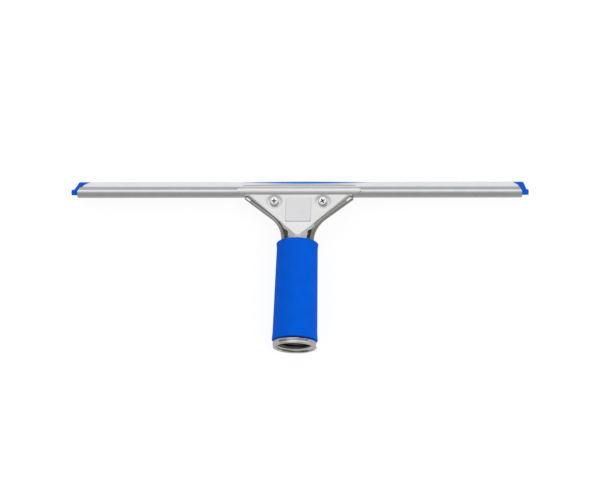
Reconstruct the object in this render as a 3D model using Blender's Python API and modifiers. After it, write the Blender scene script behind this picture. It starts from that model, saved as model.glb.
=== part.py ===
"""Window squeegee: a pressed-steel handle whose two jaws clamp a folded channel and its rubber blade.

Metres, +Z up. X runs along the channel and +Y from the handle's mouth to the blade, and the screw
heads face up. The squeegee lies on Z = 0, on the grip's lower end and on the blade's edge, and the
origin is the middle of the space that it takes up there. Places along the handle are measured from
the mouth, and heights on the handle from its axis.
"""

import math

import bmesh
import bpy
from mathutils import Matrix, Vector

# Clearances
fit = 0.0003
jaw_clearance = 0.00015
overrun = 0.004

# Channel, seen in section: depth runs from the bead's centre to the lips
channel_length = 0.350
channel_sheet = 0.0008
bead_radius = 0.0042
waist_fillet = 0.0022
lip_depth = 0.0116
lip_half = 0.0038
flare_angle = math.radians(14)
hem_length = 0.0024
bevel_depth = -0.0036
bevel_angle = math.radians(22)
bead_from_mouth = 0.1270

# Blade
blade_bend = math.radians(51.5)
blade_depth = 0.0174
blade_half = 0.00125
blade_setback = 0.002
web_depth = 0.0062
web_shoulder = 0.0007

# End clips
knob_radius = 0.0022
knob_length = 0.0048
peg_length = 0.0062
wing_bottom = 0.0010
wing_root_half = 0.0022
wing_root_reach = 0.0038
wing_top_reach = 0.0005

# Grip sleeve
sleeve_start = 0.0052
sleeve_end = 0.0857
sleeve_top_wall = 0.0032
sleeve_flare_wall = 0.0030
sleeve_body_wall = 0.0026
sleeve_flare_length = 0.0060
sleeve_bottom_round = 0.0008
sleeve_shoulder_round = 0.0020

# Tube and fan of the rear shell
handle_sheet = 0.0014
tube_end_radius = 0.0150
neck_radius = 0.0128
taper_end = 0.0810
seam_gap = 0.0010
neck_start = 0.0872
neck_wall_angle = math.radians(28)
fan_radius = 0.0232
fan_angle = math.radians(53)
pan_fillet = 0.0030
rim_proud = 0.0009
rim_corner = 0.0020

# Jaws
jaw_half = 0.0487
jaw_gap_half = 0.0034
jaw_fillet = 0.0020
jaw_reach = 0.0066
jaw_corner_cut = 0.0074
jaw_corner_length = 0.0030

# Front plate
tongue_end = 0.0710
tongue_half = 0.0074
tongue_crown = 0.0092
tongue_side_drop = 0.0014
ramp_start = 0.0850
ramp_end = 0.1018
shoulder_start = 0.0940
shoulder_end = 0.0975
plate_gap = 0.0009
panel_half = 0.01025
panel_start = 0.1020
panel_end = 0.1211
panel_height = 0.00025
panel_round = 0.0010

# Screws and nuts
screw_spacing = 0.0381
screw_from_mouth = 0.1182
head_radius = 0.0037
head_height = 0.0024
shank_radius = 0.0016
shank_length = 0.0124
recess_span = 0.0042
recess_width = 0.0009
recess_depth = 0.0013
recess_turn = math.radians(30)
screw_hole_radius = 0.0023
nut_flats = 0.0070
nut_height = 0.0032
nut_bore_radius = 0.0022
dimple_radius = 0.0043
dimple_rim = 0.0013
dimple_depth = 0.0006

# Pole socket
socket_length = 0.036
socket_wall = 0.0011
collar_wall = 0.0026
collar_groove = 0.0008
mouth_step = 0.0006
mouth_flare_length = 0.0050
lip_round = 0.0007

# Facets
round_steps = 48
small_steps = 24

# Worked out from the sizes above
sleeve_top_radius = neck_radius + sleeve_top_wall
sleeve_flare_radius = tube_end_radius + sleeve_flare_wall
sleeve_body_radius = tube_end_radius + sleeve_body_wall
collar_radius = tube_end_radius + collar_wall
mouth_radius = tube_end_radius - mouth_step
bead_drop = sleeve_flare_radius - blade_depth * math.sin(blade_bend) - blade_half * math.cos(blade_bend)
bead_height = -bead_drop
plate_under = bead_height + jaw_gap_half
plate_top = plate_under + handle_sheet
floor_inner = bead_height - jaw_gap_half
fan_arc_end = neck_start + fan_radius * math.sin(fan_angle)
blade_overhang = blade_depth * math.cos(blade_bend) + blade_half * math.sin(blade_bend)
total_reach = bead_from_mouth + blade_overhang
origin_shift = Vector((0, -total_reach / 2, sleeve_flare_radius))
channel_half = channel_length / 2
rim_end = bead_from_mouth - bead_radius - fit
neck_inner = neck_radius - handle_sheet
screw_seat = plate_top - dimple_depth
blade_length = channel_length - 2 * blade_setback

# Along X: a flat outline's own X, Y and thickness become Y, Z and X
ALONG_X = Matrix(((0, 0, 1, 0), (1, 0, 0, 0), (0, 1, 0, 0), (0, 0, 0, 1)))
# A turned piece's own axis becomes the handle's
ALONG_Y = Matrix.Rotation(-math.pi / 2, 4, "X")


def clear_scene():
    """Start from an empty file."""
    for old in list(bpy.data.objects):
        bpy.data.objects.remove(old)


def new_collection(name):
    """A collection of its own in the scene."""
    collection = bpy.data.collections.new(name)
    bpy.context.scene.collection.children.link(collection)
    return collection


def new_material(name, colour, roughness, metallic):
    """A plain finish with the photographed colour."""
    material = bpy.data.materials.new(name)
    material.use_nodes = True
    shader = material.node_tree.nodes["Principled BSDF"]
    shader.inputs["Base Color"].default_value = (*colour, 1)
    shader.inputs["Roughness"].default_value = roughness
    shader.inputs["Metallic"].default_value = metallic
    return material


def add_piece(name, mesh, collection, material=None):
    """Link a mesh as a named piece with its own material."""
    piece = bpy.data.objects.new(name, mesh)
    collection.objects.link(piece)
    if material:
        mesh.materials.clear()
        mesh.materials.append(material)
    return piece


def add_cutter(name, mesh, collection):
    """Link a mesh as a cutter, which isn't part of the object."""
    cutter = add_piece(name, mesh, collection)
    cutter.hide_render = True
    cutter.display_type = "WIRE"
    return cutter


def combine(piece, other, operation):
    """Cut, join or intersect a piece with another mesh."""
    modifier = piece.modifiers.new(other.name, "BOOLEAN")
    modifier.operation = operation
    modifier.solver = "EXACT"
    modifier.object = other


def ease(share):
    """A smooth step from 0 to 1."""
    share = min(max(share, 0), 1)
    return share * share * (3 - 2 * share)


def steps(start, end, count):
    """Evenly spaced places from start to end, both included."""
    return [start + (end - start) * index / count for index in range(count + 1)]


def arc(centre, radius, start_angle, end_angle, count):
    """Points on an arc in a plane."""
    return [
        (centre[0] + radius * math.cos(angle), centre[1] + radius * math.sin(angle))
        for angle in steps(start_angle, end_angle, count)
    ]


def outline_mesh(name, outline, thickness, collection):
    """A closed flat outline in X and Y, filled and given a thickness about Z = 0, as a mesh."""
    curve = bpy.data.curves.new(name, "CURVE")
    curve.dimensions = "2D"
    curve.fill_mode = "BOTH"
    curve.extrude = thickness / 2
    spline = curve.splines.new("POLY")
    spline.points.add(len(outline) - 1)
    for point, (x, y) in zip(spline.points, outline):
        point.co = (x, y, 0, 1)
    spline.use_cyclic_u = True
    holder = bpy.data.objects.new(name, curve)
    collection.objects.link(holder)
    depsgraph = bpy.context.evaluated_depsgraph_get()
    mesh = bpy.data.meshes.new_from_object(holder.evaluated_get(depsgraph))
    bpy.data.objects.remove(holder)
    shape = bmesh.new()
    shape.from_mesh(mesh)
    bmesh.ops.remove_doubles(shape, verts=shape.verts, dist=fit / 100)
    bmesh.ops.recalc_face_normals(shape, faces=shape.faces)
    shape.to_mesh(mesh)
    shape.free()
    return mesh


def turned_mesh(name, profile, closed):
    """A mesh that holds a profile of radius and height, ready to be turned."""
    mesh = bpy.data.meshes.new(name)
    edges = [(index, index + 1) for index in range(len(profile) - 1)]
    if closed:
        edges.append((len(profile) - 1, 0))
    mesh.from_pydata([(radius, 0, height) for radius, height in profile], edges, [])
    return mesh


def turn(piece, count):
    """Turn a piece's profile round its own Z."""
    screw = piece.modifiers.new("turn", "SCREW")
    screw.steps = count
    screw.render_steps = count
    screw.use_merge_vertices = True
    screw.merge_threshold = fit / 10
    screw.use_smooth_shade = True


def sheet_mesh(name, rows):
    """A sheet through rows of points, where a row may be shorter than the one before it, at both sides."""
    shape = bmesh.new()
    grid = [[shape.verts.new(point) for point in row] for row in rows]
    for first, second in zip(grid, grid[1:]):
        cut = (len(first) - len(second)) // 2
        first = first[cut:len(first) - cut]
        for left in range(len(second) - 1):
            shape.faces.new((first[left], second[left], second[left + 1], first[left + 1]))
    mesh = bpy.data.meshes.new(name)
    shape.to_mesh(mesh)
    shape.free()
    return mesh


def thicken(piece, thickness, side):
    """Give a sheet its thickness on one side of its modelled face."""
    solidify = piece.modifiers.new("sheet", "SOLIDIFY")
    solidify.thickness = thickness
    solidify.offset = side
    solidify.use_even_offset = True
    solidify.use_quality_normals = True


def flank_directions():
    """The unit vectors along a flank of the channel and out of it, in depth and height."""
    along = Vector((math.cos(flare_angle), math.sin(flare_angle)))
    out = Vector((-math.sin(flare_angle), math.cos(flare_angle)))
    return along, out


def waist_centre():
    """Centre of the crease between the bead and a flank, in depth and height."""
    along, out = flank_directions()
    height = Vector((lip_depth, lip_half)).dot(out) + waist_fillet
    length = math.sqrt((bead_radius + waist_fillet) ** 2 - height ** 2)
    return along * length + out * height


def channel_contour(offset, start_angle, reach, arc_count):
    """The channel's upper face moved out by offset: bead, crease, and flank to a reach along it."""
    along, out = flank_directions()
    centre = waist_centre()
    meet = math.atan2(centre.y, centre.x)
    crease_end = flare_angle - math.pi / 2 + math.tau
    points = arc((0, 0), bead_radius + offset, start_angle, meet, arc_count)
    points += arc(centre, waist_fillet - offset, meet + math.pi, crease_end, 4)[1:]
    height = Vector((lip_depth, lip_half)).dot(out) + offset
    end = along * reach + out * height
    points.append((end.x, end.y))
    return points


def channel_outline():
    """The folded strip in section, with a hem at each lip."""
    along, out = flank_directions()
    lip = Vector((lip_depth, lip_half))
    reach = lip.dot(along)
    upper = channel_contour(0, math.pi, reach, 10)
    fold = lip - out * channel_sheet
    upper += arc(fold, channel_sheet, flare_angle + math.pi / 2, flare_angle - math.pi / 2, 5)[1:]
    hem = lip - out * 2 * channel_sheet - along * hem_length
    upper.append((hem.x, hem.y))
    upper += channel_contour(-channel_sheet, math.pi, reach - hem_length, 10)[::-1]
    lower = [(depth, -height) for depth, height in upper[::-1]]
    return upper[:-1] + lower[:-1]


def blade_outline():
    """The rubber strip in section: a round bulb, a web through the waist and a square-edged blade."""
    bulb = bead_radius - channel_sheet - fit
    web_half = waist_centre().y - waist_fillet - channel_sheet - fit
    upper = arc((0, 0), bulb, math.pi, math.asin(web_half / bulb), 10)
    upper.append((web_depth, web_half))
    upper.append((web_depth + web_shoulder, blade_half))
    upper.append((blade_depth, blade_half))
    lower = [(depth, -height) for depth, height in upper[::-1]]
    return upper + lower[:-1]


def end_line(depth):
    """How far along X the channel's bevelled end lies, at a depth."""
    return channel_half - max(0, depth - bevel_depth) * math.tan(bevel_angle)


def place_in_channel(piece):
    """Put a piece modelled in length, depth and height where the channel is, as an unmoved frame."""
    piece.location = origin_shift + Vector((0, bead_from_mouth, bead_height))
    piece.rotation_euler = (-blade_bend, 0, 0)


def both_ends(outline):
    """An outline in length and depth, and its mirror image at the other end."""
    return [outline, [(-length, depth) for length, depth in outline[::-1]]]


def build_channel(parts, cutters, material):
    """The channel, with its ends cut back from the bead's back to the lips."""
    mesh = outline_mesh("channel", channel_outline(), channel_length, parts)
    mesh.transform(ALONG_X)
    channel = add_piece("channel", mesh, parts, material)
    place_in_channel(channel)
    reach = lip_depth + overrun
    corner = [
        (channel_half, bevel_depth),
        (channel_half + overrun, bevel_depth),
        (channel_half + overrun, reach),
        (end_line(reach), reach),
    ]
    for index, outline in enumerate(both_ends(corner)):
        name = f"channel_bevel_{index}"
        cutter = add_cutter(name, outline_mesh(name, outline, 4 * bead_radius, cutters), cutters)
        place_in_channel(cutter)
        combine(channel, cutter, "DIFFERENCE")


def build_blade(parts, cutters, material):
    """The rubber, cut back at both ends for the clips' pegs and wings."""
    mesh = outline_mesh("blade", blade_outline(), blade_length, parts)
    mesh.transform(ALONG_X)
    blade = add_piece("blade", mesh, parts, material)
    place_in_channel(blade)
    step = wing_top() + fit
    corner = [
        (channel_half - peg_length - fit, -bead_radius),
        (channel_half + overrun, -bead_radius),
        (channel_half + overrun, step),
        (end_line(step), step),
        (end_line(web_depth + web_shoulder), web_depth + web_shoulder),
        (channel_half - peg_length - fit, web_depth + web_shoulder),
    ]
    for index, outline in enumerate(both_ends(corner)):
        name = f"blade_notch_{index}"
        cutter = add_cutter(name, outline_mesh(name, outline, 4 * bead_radius, cutters), cutters)
        place_in_channel(cutter)
        combine(blade, cutter, "DIFFERENCE")


def wing_top():
    """Depth of the end clips' upper edge, level with the lips' folds."""
    return lip_depth + channel_sheet


def build_end_clip(name, side, parts, cutters, material):
    """A moulded clip: a peg in the bead, a knob outside it, and a flared wing over the lips' ends."""
    top = wing_top()
    wing = [
        (end_line(wing_bottom) + fit, wing_bottom),
        (channel_half + wing_root_reach, wing_bottom),
        (channel_half - wing_top_reach, top),
        (end_line(top) + fit, top),
    ]
    if side < 0:
        wing = both_ends(wing)[1]
    clip = add_piece(name, outline_mesh(name, wing, 4 * bead_radius, parts), parts, material)
    place_in_channel(clip)

    section = [
        (wing_bottom - overrun, wing_root_half),
        (wing_bottom, wing_root_half),
        (top + overrun, lip_half + overrun * math.tan(flare_angle)),
    ]
    section += [(depth, -height) for depth, height in section[::-1]]
    length = 2 * (channel_half + knob_length)
    flare = outline_mesh(name + "_flare", section, length, cutters)
    flare.transform(ALONG_X)
    flare_cutter = add_cutter(name + "_flare", flare, cutters)
    place_in_channel(flare_cutter)
    combine(clip, flare_cutter, "INTERSECT")

    peg_radius = bead_radius - channel_sheet - fit
    profile = [
        (0, knob_length),
        (knob_radius, knob_length),
        (knob_radius, fit),
        (peg_radius, -fit),
        (peg_radius, -peg_length),
        (0, -peg_length),
    ]
    peg = add_cutter(name + "_peg", turned_mesh(name + "_peg", profile, False), cutters)
    turn(peg, small_steps)
    place_in_channel(peg)
    peg.matrix_world = (
        Matrix.Translation(peg.location)
        @ Matrix.Rotation(-blade_bend, 4, "X")
        @ Matrix.Translation((side * channel_half, 0, 0))
        @ Matrix.Rotation(side * math.pi / 2, 4, "Y")
    )
    combine(clip, peg, "UNION")


def outer_half_width(place):
    """Half width over the rear shell: tapered tube, then the curve and the straight of the fan."""
    if place < taper_end:
        share = (place - sleeve_start) / (taper_end - sleeve_start)
        return tube_end_radius + (neck_radius - tube_end_radius) * share
    angle = outline_angle(place)
    straight = max(0, place - fan_arc_end)
    return neck_radius + fan_radius * (1 - math.cos(angle)) + straight * math.tan(fan_angle)


def outline_angle(place):
    """Angle of the rear shell's outline from the handle's axis."""
    sine = (place - neck_start) / fan_radius
    return math.asin(min(max(sine, 0), math.sin(fan_angle)))


def inner_half_width(place):
    """Half width between the rear shell's walls."""
    return outer_half_width(place) - handle_sheet / math.cos(outline_angle(place))


def fan_share(place):
    """0 on the tube, 1 where the shell is a flat-floored pan."""
    return ease((place - neck_start) / (fan_arc_end - neck_start))


def tube_points(place):
    """Right half of the shell's inner face as a tube, from the floor up to its open edge."""
    half = inner_half_width(place)
    height = min(half, neck_inner) if place >= taper_end else half
    closed = math.acos(seam_gap / 2 / half)
    opened = ease((place - taper_end) / (neck_start - taper_end))
    wall = closed + (neck_wall_angle - closed) * opened
    angles = steps(0, math.pi / 2, 8) + steps(math.pi / 2, math.pi / 2 + wall, 6)[1:]
    return [(half * math.sin(angle), -height * math.cos(angle)) for angle in angles]


def pan_points(place):
    """Right half of the shell's inner face as a pan, from the floor up to the rim."""
    half = inner_half_width(place)
    past = max(0, place - (rim_end - rim_corner)) / rim_corner
    top = plate_top + rim_proud - rim_corner * (1 - math.sqrt(1 - min(past, 1) ** 2))
    points = [(x, floor_inner) for x in steps(0, half - pan_fillet, 3)[:-1]]
    points += arc((half - pan_fillet, floor_inner + pan_fillet), pan_fillet, -math.pi / 2, 0, 5)
    points += [(half, height) for height in steps(floor_inner + pan_fillet, top, 6)[1:]]
    return points


def shell_row(place):
    """A whole row across the rear shell's inner face, from rim to rim."""
    share = fan_share(place)
    half = [
        (tube[0] + (pan[0] - tube[0]) * share, tube[1] + (pan[1] - tube[1]) * share)
        for tube, pan in zip(tube_points(place), pan_points(place))
    ]
    right = [(x, place, height) for x, height in half]
    left = [(-x, place, height) for x, height in half[:0:-1]]
    return left + right


def jaw_path(side):
    """A jaw's gripping face from the flat sheet round the bead to its edge: place, height, length run."""
    level = bead_height + side * jaw_gap_half
    bead = Vector((bead_from_mouth, bead_height))
    radius = bead_radius + jaw_clearance
    rise = side * (jaw_gap_half + jaw_fillet)
    back = math.sqrt((radius + jaw_fillet) ** 2 - rise ** 2)
    centre = bead + Vector((-back, rise))
    tangent = math.atan2(rise, -back)
    turn_end = tangent - side * math.pi
    points = arc(centre, jaw_fillet, -side * math.pi / 2, turn_end, 3)
    depth_axis = Vector((math.cos(blade_bend), -math.sin(blade_bend)))
    height_axis = Vector((math.sin(blade_bend), math.cos(blade_bend)))
    start_angle = side * tangent + side * blade_bend
    arc_count = 9 if side > 0 else 3
    for depth, height in channel_contour(jaw_clearance, start_angle, jaw_reach, arc_count)[1:]:
        point = bead + depth_axis * depth + height_axis * height * side
        points.append((point.x, point.y))
    points[0] = (points[0][0], level)
    runs = [0]
    for first, second in zip(points, points[1:]):
        runs.append(runs[-1] + math.dist(first, second))
    return [(place, height, run) for (place, height), run in zip(points, runs)]


def jaw_rows(side, columns):
    """Rows across a jaw, narrower at its root and at the cut corners of its edge."""
    path = jaw_path(side)
    root = inner_half_width(path[0][0]) - plate_gap / math.cos(fan_angle)
    end = path[-1][2]
    cut_start = end / 2
    rows = []
    for place, height, run in path:
        half = root + (jaw_half - root) * min(1, run / jaw_corner_length)
        half -= jaw_corner_cut * max(0, run - cut_start) / (end - cut_start)
        rows.append([(x, place, height) for x in steps(-half, half, columns)])
    return rows


def screw_places():
    """X of the two screws, with the names of their sides."""
    return (("left", -screw_spacing / 2), ("right", screw_spacing / 2))


def cylinder_mesh(name, bottom_radius, top_radius, bottom, top):
    """A short cylinder or cone between two heights."""
    shape = bmesh.new()
    bmesh.ops.create_cone(
        shape,
        cap_ends=True,
        segments=small_steps,
        radius1=bottom_radius,
        radius2=top_radius,
        depth=top - bottom,
        matrix=Matrix.Translation((0, 0, (top + bottom) / 2)),
    )
    mesh = bpy.data.meshes.new(name)
    shape.to_mesh(mesh)
    shape.free()
    return mesh


def build_rear_shell(parts, cutters, material):
    """The pressed rear half of the handle: seamed tube, open neck, pan with rims, and rear jaw."""
    places = steps(sleeve_start, taper_end, 3)
    places += steps(taper_end, neck_start, 4)[1:]
    places += steps(neck_start, fan_arc_end, 9)[1:]
    places += steps(fan_arc_end, rim_end - rim_corner, 4)[1:]
    places += steps(rim_end - rim_corner, rim_end, 3)[1:]
    rows = [shell_row(place) for place in places]
    rows += jaw_rows(-1, 6)
    shell = add_piece("rear_shell", sheet_mesh("rear_shell", rows), parts, material)
    shell.location = origin_shift
    thicken(shell, handle_sheet, 1)
    for side, x in screw_places():
        name = f"rear_screw_hole_{side}"
        top = floor_inner + overrun
        hole = cylinder_mesh(name, screw_hole_radius, screw_hole_radius, floor_inner - overrun, top)
        cutter = add_cutter(name, hole, cutters)
        cutter.location = origin_shift + Vector((x, screw_from_mouth, 0))
        combine(shell, cutter, "DIFFERENCE")


def plate_half_width(place):
    """Half width of the front plate: tongue, shoulders, then clear of the rims."""
    beside_rim = inner_half_width(place) - plate_gap / math.cos(outline_angle(place))
    share = ease((place - shoulder_start) / (shoulder_end - shoulder_start))
    return tongue_half + (beside_rim - tongue_half) * share


def plate_row(place, columns):
    """A row across the underside of the front plate, arched on the tongue and flat past the ramp."""
    share = ease((place - ramp_start) / (ramp_end - ramp_start))
    half = plate_half_width(place)
    row = []
    for x in steps(-half, half, columns):
        crown = tongue_crown - handle_sheet
        arched = crown - tongue_side_drop * (x / half) ** 2
        row.append((x, place, arched + (plate_under - arched) * share))
    return row


def build_front_plate(parts, cutters, material):
    """The pressed front half: tongue, flat plate with dished screw seats and a bare panel, front jaw."""
    columns = 8
    jaw = jaw_rows(1, columns)
    flat_end = jaw[0][0][1]
    places = steps(tongue_end, ramp_start, 2)
    places += steps(ramp_start, ramp_end, 9)[1:]
    places += steps(ramp_end, flat_end, 5)[1:-1]
    rows = [plate_row(place, columns) for place in places] + jaw
    plate = add_piece("front_plate", sheet_mesh("front_plate", rows), parts, material)
    plate.location = origin_shift
    thicken(plate, handle_sheet, -1)

    for side, x in screw_places():
        spot = origin_shift + Vector((x, screw_from_mouth, 0))
        rim = dimple_radius + dimple_rim
        slope = dimple_rim / dimple_depth
        inside = plate_under + handle_sheet / 2
        boss_rim = dimple_radius + (inside - plate_under + dimple_depth) * slope
        boss = cylinder_mesh(
            f"dimple_boss_{side}", dimple_radius, boss_rim, plate_under - dimple_depth, inside
        )
        boss_piece = add_cutter(boss.name, boss, cutters)
        dish = cylinder_mesh(
            f"dimple_dish_{side}", dimple_radius, rim + dimple_rim, screw_seat, plate_top + dimple_depth
        )
        dish_cutter = add_cutter(dish.name, dish, cutters)
        hole = cylinder_mesh(
            f"front_screw_hole_{side}",
            screw_hole_radius,
            screw_hole_radius,
            plate_under - overrun,
            plate_top + overrun,
        )
        hole_cutter = add_cutter(hole.name, hole, cutters)
        for tool, operation in (
            (boss_piece, "UNION"),
            (dish_cutter, "DIFFERENCE"),
            (hole_cutter, "DIFFERENCE"),
        ):
            tool.location = spot
            combine(plate, tool, operation)

    panel = outline_mesh("panel", panel_outline(), 2 * panel_height, cutters)
    pad = add_cutter("panel", panel, cutters)
    pad.location = origin_shift + Vector((0, (panel_start + panel_end) / 2, plate_top))
    combine(plate, pad, "UNION")


def panel_outline():
    """The bare raised panel, a rectangle with round corners."""
    half_length = (panel_end - panel_start) / 2
    corners = ((1, 1, 0), (-1, 1, 1), (-1, -1, 2), (1, -1, 3))
    outline = []
    for across, along, quarter in corners:
        centre = (across * (panel_half - panel_round), along * (half_length - panel_round))
        start = quarter * math.pi / 2
        outline += arc(centre, panel_round, start, start + math.pi / 2, 3)
    return outline


def build_screw(side, x, turned_by, parts, cutters, material):
    """A pan-head screw with a cross recess, its origin on its axis at the seat."""
    crown = steps(0, math.pi / 2, 5)
    drop = head_height / 2
    profile = [
        (head_radius * math.sin(angle), drop + drop * math.cos(angle)) for angle in crown
    ]
    profile += [(head_radius, fit), (shank_radius, fit), (shank_radius, -shank_length)]
    profile += [(0, -shank_length - shank_radius / 2)]
    name = f"screw_{side}"
    screw = add_piece(name, turned_mesh(name, profile, False), parts, material)
    turn(screw, small_steps)
    screw.location = origin_shift + Vector((x, screw_from_mouth, screw_seat))
    cross = []
    arm = recess_span / 2
    web = recess_width / 2
    for quarter in range(4):
        angle = quarter * math.pi / 2 + turned_by
        for point in (Vector((arm, -web)), Vector((arm, web)), Vector((web, web))):
            turned = Matrix.Rotation(angle, 2) @ point
            cross.append((turned.x, turned.y))
    recess = outline_mesh(name + "_recess", cross, 2 * recess_depth, cutters)
    cutter = add_cutter(name + "_recess", recess, cutters)
    cutter.location = screw.location + Vector((0, 0, head_height))
    combine(screw, cutter, "DIFFERENCE")


def build_nut(side, x, parts, cutters, material):
    """A hexagon nut against the back of the rear shell."""
    name = f"nut_{side}"
    shape = bmesh.new()
    bmesh.ops.create_cone(
        shape,
        cap_ends=True,
        segments=6,
        radius1=nut_flats / math.sqrt(3),
        radius2=nut_flats / math.sqrt(3),
        depth=nut_height,
    )
    mesh = bpy.data.meshes.new(name)
    shape.to_mesh(mesh)
    shape.free()
    nut = add_piece(name, mesh, parts, material)
    seat = floor_inner - handle_sheet - fit
    nut.location = origin_shift + Vector((x, screw_from_mouth, seat - nut_height / 2))
    bore = cylinder_mesh(name + "_bore", nut_bore_radius, nut_bore_radius, -nut_height, nut_height)
    cutter = add_cutter(name + "_bore", bore, cutters)
    cutter.location = nut.location
    combine(nut, cutter, "DIFFERENCE")


def build_grip_sleeve(parts, material):
    """The rubber sleeve: tapered, with a soft shoulder at the top and a slight flare at the bottom."""
    bore_top = neck_radius + fit
    bore_bottom = tube_end_radius + fit
    shoulder = (sleeve_top_radius - sleeve_shoulder_round, sleeve_end - sleeve_shoulder_round)
    foot = (sleeve_flare_radius - sleeve_bottom_round, sleeve_start + sleeve_bottom_round)
    profile = arc(shoulder, sleeve_shoulder_round, math.pi / 2, 0, 4)
    profile.append((sleeve_body_radius, sleeve_start + 2 * sleeve_flare_length))
    profile.append(((sleeve_body_radius + sleeve_flare_radius) / 2, sleeve_start + sleeve_flare_length))
    profile += arc(foot, sleeve_bottom_round, 0, -math.pi / 2, 3)
    profile += [(bore_bottom, sleeve_start), (bore_top, taper_end), (bore_top, sleeve_end)]
    sleeve = add_piece("grip_sleeve", turned_mesh("grip_sleeve", profile, True), parts, material)
    turn(sleeve, round_steps)
    sleeve.matrix_world = Matrix.Translation(origin_shift) @ ALONG_Y


def build_thread_socket(parts, material):
    """The pole socket: a tapered liner in the tube, and a rolled collar with a flared mouth."""
    collar_end = sleeve_start - fit
    root = inner_half_width(sleeve_start) - fit
    tip = inner_half_width(socket_length) - fit
    ridge = collar_end / 4
    profile = [(tip, socket_length), (root, collar_end)]
    for index, place in enumerate(steps(collar_end, lip_round, 8)):
        wave = (1 - math.cos(place / ridge * math.pi)) / 2
        profile.append((collar_radius - collar_groove * wave, place))
    lip_outer = collar_radius - collar_groove / 2
    profile += [(lip_outer - lip_round, 0), (mouth_radius + lip_round, 0), (mouth_radius, lip_round)]
    throat = root - socket_wall
    for share in (0.35, 0.7, 1):
        place = lip_round + (mouth_flare_length - lip_round) * share
        profile.append((mouth_radius + (throat - mouth_radius) * ease(share), place))
    profile.append((tip - socket_wall, socket_length))
    socket = add_piece("thread_socket", turned_mesh("thread_socket", profile, True), parts, material)
    turn(socket, round_steps)
    socket.matrix_world = Matrix.Translation(origin_shift) @ ALONG_Y


def build():
    """Make every piece of the squeegee."""
    clear_scene()
    parts = new_collection("window_squeegee")
    cutters = new_collection("squeegee_cutters")
    satin = new_material("satin_steel", (0.72, 0.73, 0.74), 0.35, 1)
    shell_steel = new_material("pressed_steel", (0.62, 0.62, 0.63), 0.32, 1)
    channel_steel = new_material("channel_steel", (0.70, 0.71, 0.73), 0.22, 1)
    polished = new_material("polished_steel", (0.78, 0.79, 0.80), 0.12, 1)
    socket_steel = new_material("rolled_steel", (0.60, 0.59, 0.58), 0.18, 1)
    nut_steel = new_material("nut_steel", (0.65, 0.65, 0.65), 0.30, 1)
    grip_rubber = new_material("blue_grip_rubber", (0.0, 0.10, 0.65), 0.60, 0)
    blade_rubber = new_material("blue_blade_rubber", (0.0, 0.12, 0.60), 0.55, 0)
    clip_plastic = new_material("blue_clip_plastic", (0.0, 0.11, 0.62), 0.40, 0)
    build_rear_shell(parts, cutters, shell_steel)
    build_front_plate(parts, cutters, satin)
    build_thread_socket(parts, socket_steel)
    build_grip_sleeve(parts, grip_rubber)
    build_channel(parts, cutters, channel_steel)
    build_blade(parts, cutters, blade_rubber)
    build_end_clip("end_clip_left", -1, parts, cutters, clip_plastic)
    build_end_clip("end_clip_right", 1, parts, cutters, clip_plastic)
    for (side, x), turned_by in zip(screw_places(), (0, recess_turn)):
        build_screw(side, x, turned_by, parts, cutters, polished)
        build_nut(side, x, parts, cutters, nut_steel)


build()
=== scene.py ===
"""A window squeegee's finished pieces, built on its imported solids: pressed and folded steel, a blue
rubber sleeve, a blue rubber blade and moulded end clips. Metres, in the solids' own frame.

Places along the handle are measured from its mouth and heights from its axis. On the channel, depth
runs from the bead's centre to the lips, and height goes out of its upper side.
"""

import math

import bmesh
import bpy
from mathutils import Matrix, Vector


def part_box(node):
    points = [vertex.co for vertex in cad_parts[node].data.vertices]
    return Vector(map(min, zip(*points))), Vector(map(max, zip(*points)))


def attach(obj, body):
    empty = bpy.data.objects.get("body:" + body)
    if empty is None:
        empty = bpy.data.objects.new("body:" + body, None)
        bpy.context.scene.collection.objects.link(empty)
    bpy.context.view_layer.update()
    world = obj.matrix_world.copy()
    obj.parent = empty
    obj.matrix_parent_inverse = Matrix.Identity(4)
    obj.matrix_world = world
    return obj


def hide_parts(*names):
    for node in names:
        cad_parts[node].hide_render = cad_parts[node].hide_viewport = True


bl_info = {
    "name": "Window squeegee",
    "version": (1, 0, 0),
    "blender": (4, 5, 0),
    "location": "View3D > Sidebar > Squeegee",
    "description": "Builds the pieces, finishes and stage of a window squeegee",
    "category": "Add Mesh",
}

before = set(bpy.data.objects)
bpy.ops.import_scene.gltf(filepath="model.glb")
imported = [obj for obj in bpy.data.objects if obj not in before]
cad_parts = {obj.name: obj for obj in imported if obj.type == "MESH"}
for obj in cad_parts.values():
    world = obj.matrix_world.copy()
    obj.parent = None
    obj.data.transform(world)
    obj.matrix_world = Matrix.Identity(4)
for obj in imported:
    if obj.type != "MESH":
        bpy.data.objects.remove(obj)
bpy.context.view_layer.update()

# Where vertices count as one, and where an edge counts as sharp
weld = 0.000004
sharp = math.radians(38)

# Between pieces that sit in or on each other
fit = 0.0003

# Where the solids are
mouth_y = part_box("thread_socket")[0].y
axis_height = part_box("grip_sleeve")[1].z / 2

# Channel and blade
channel_half = 0.175
bead_radius = 0.0042
waist_fillet = 0.0022
lip_depth = 0.0116
lip_half = 0.0038
hem_width = 0.0030
flare_angle = math.radians(14)
end_round_start = -0.0036
end_round_length = 0.0056
end_round_cut = 0.0022
sweep_start = 0.0045
sweep_cut = 0.0065
pinch_middle = 0.004
bead_place = 0.1270
blade_bend = math.radians(51.5)
bulb_radius = 0.0033
blade_root = 0.0069
blade_cut_depth = 0.0127
blade_depth = 0.0174
blade_half = 0.00125
blade_end = 0.173
sleeve_radius = 0.0180
edge_drop = blade_depth * math.sin(blade_bend) + blade_half * math.cos(blade_bend)
bead_height = edge_drop - sleeve_radius

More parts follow.
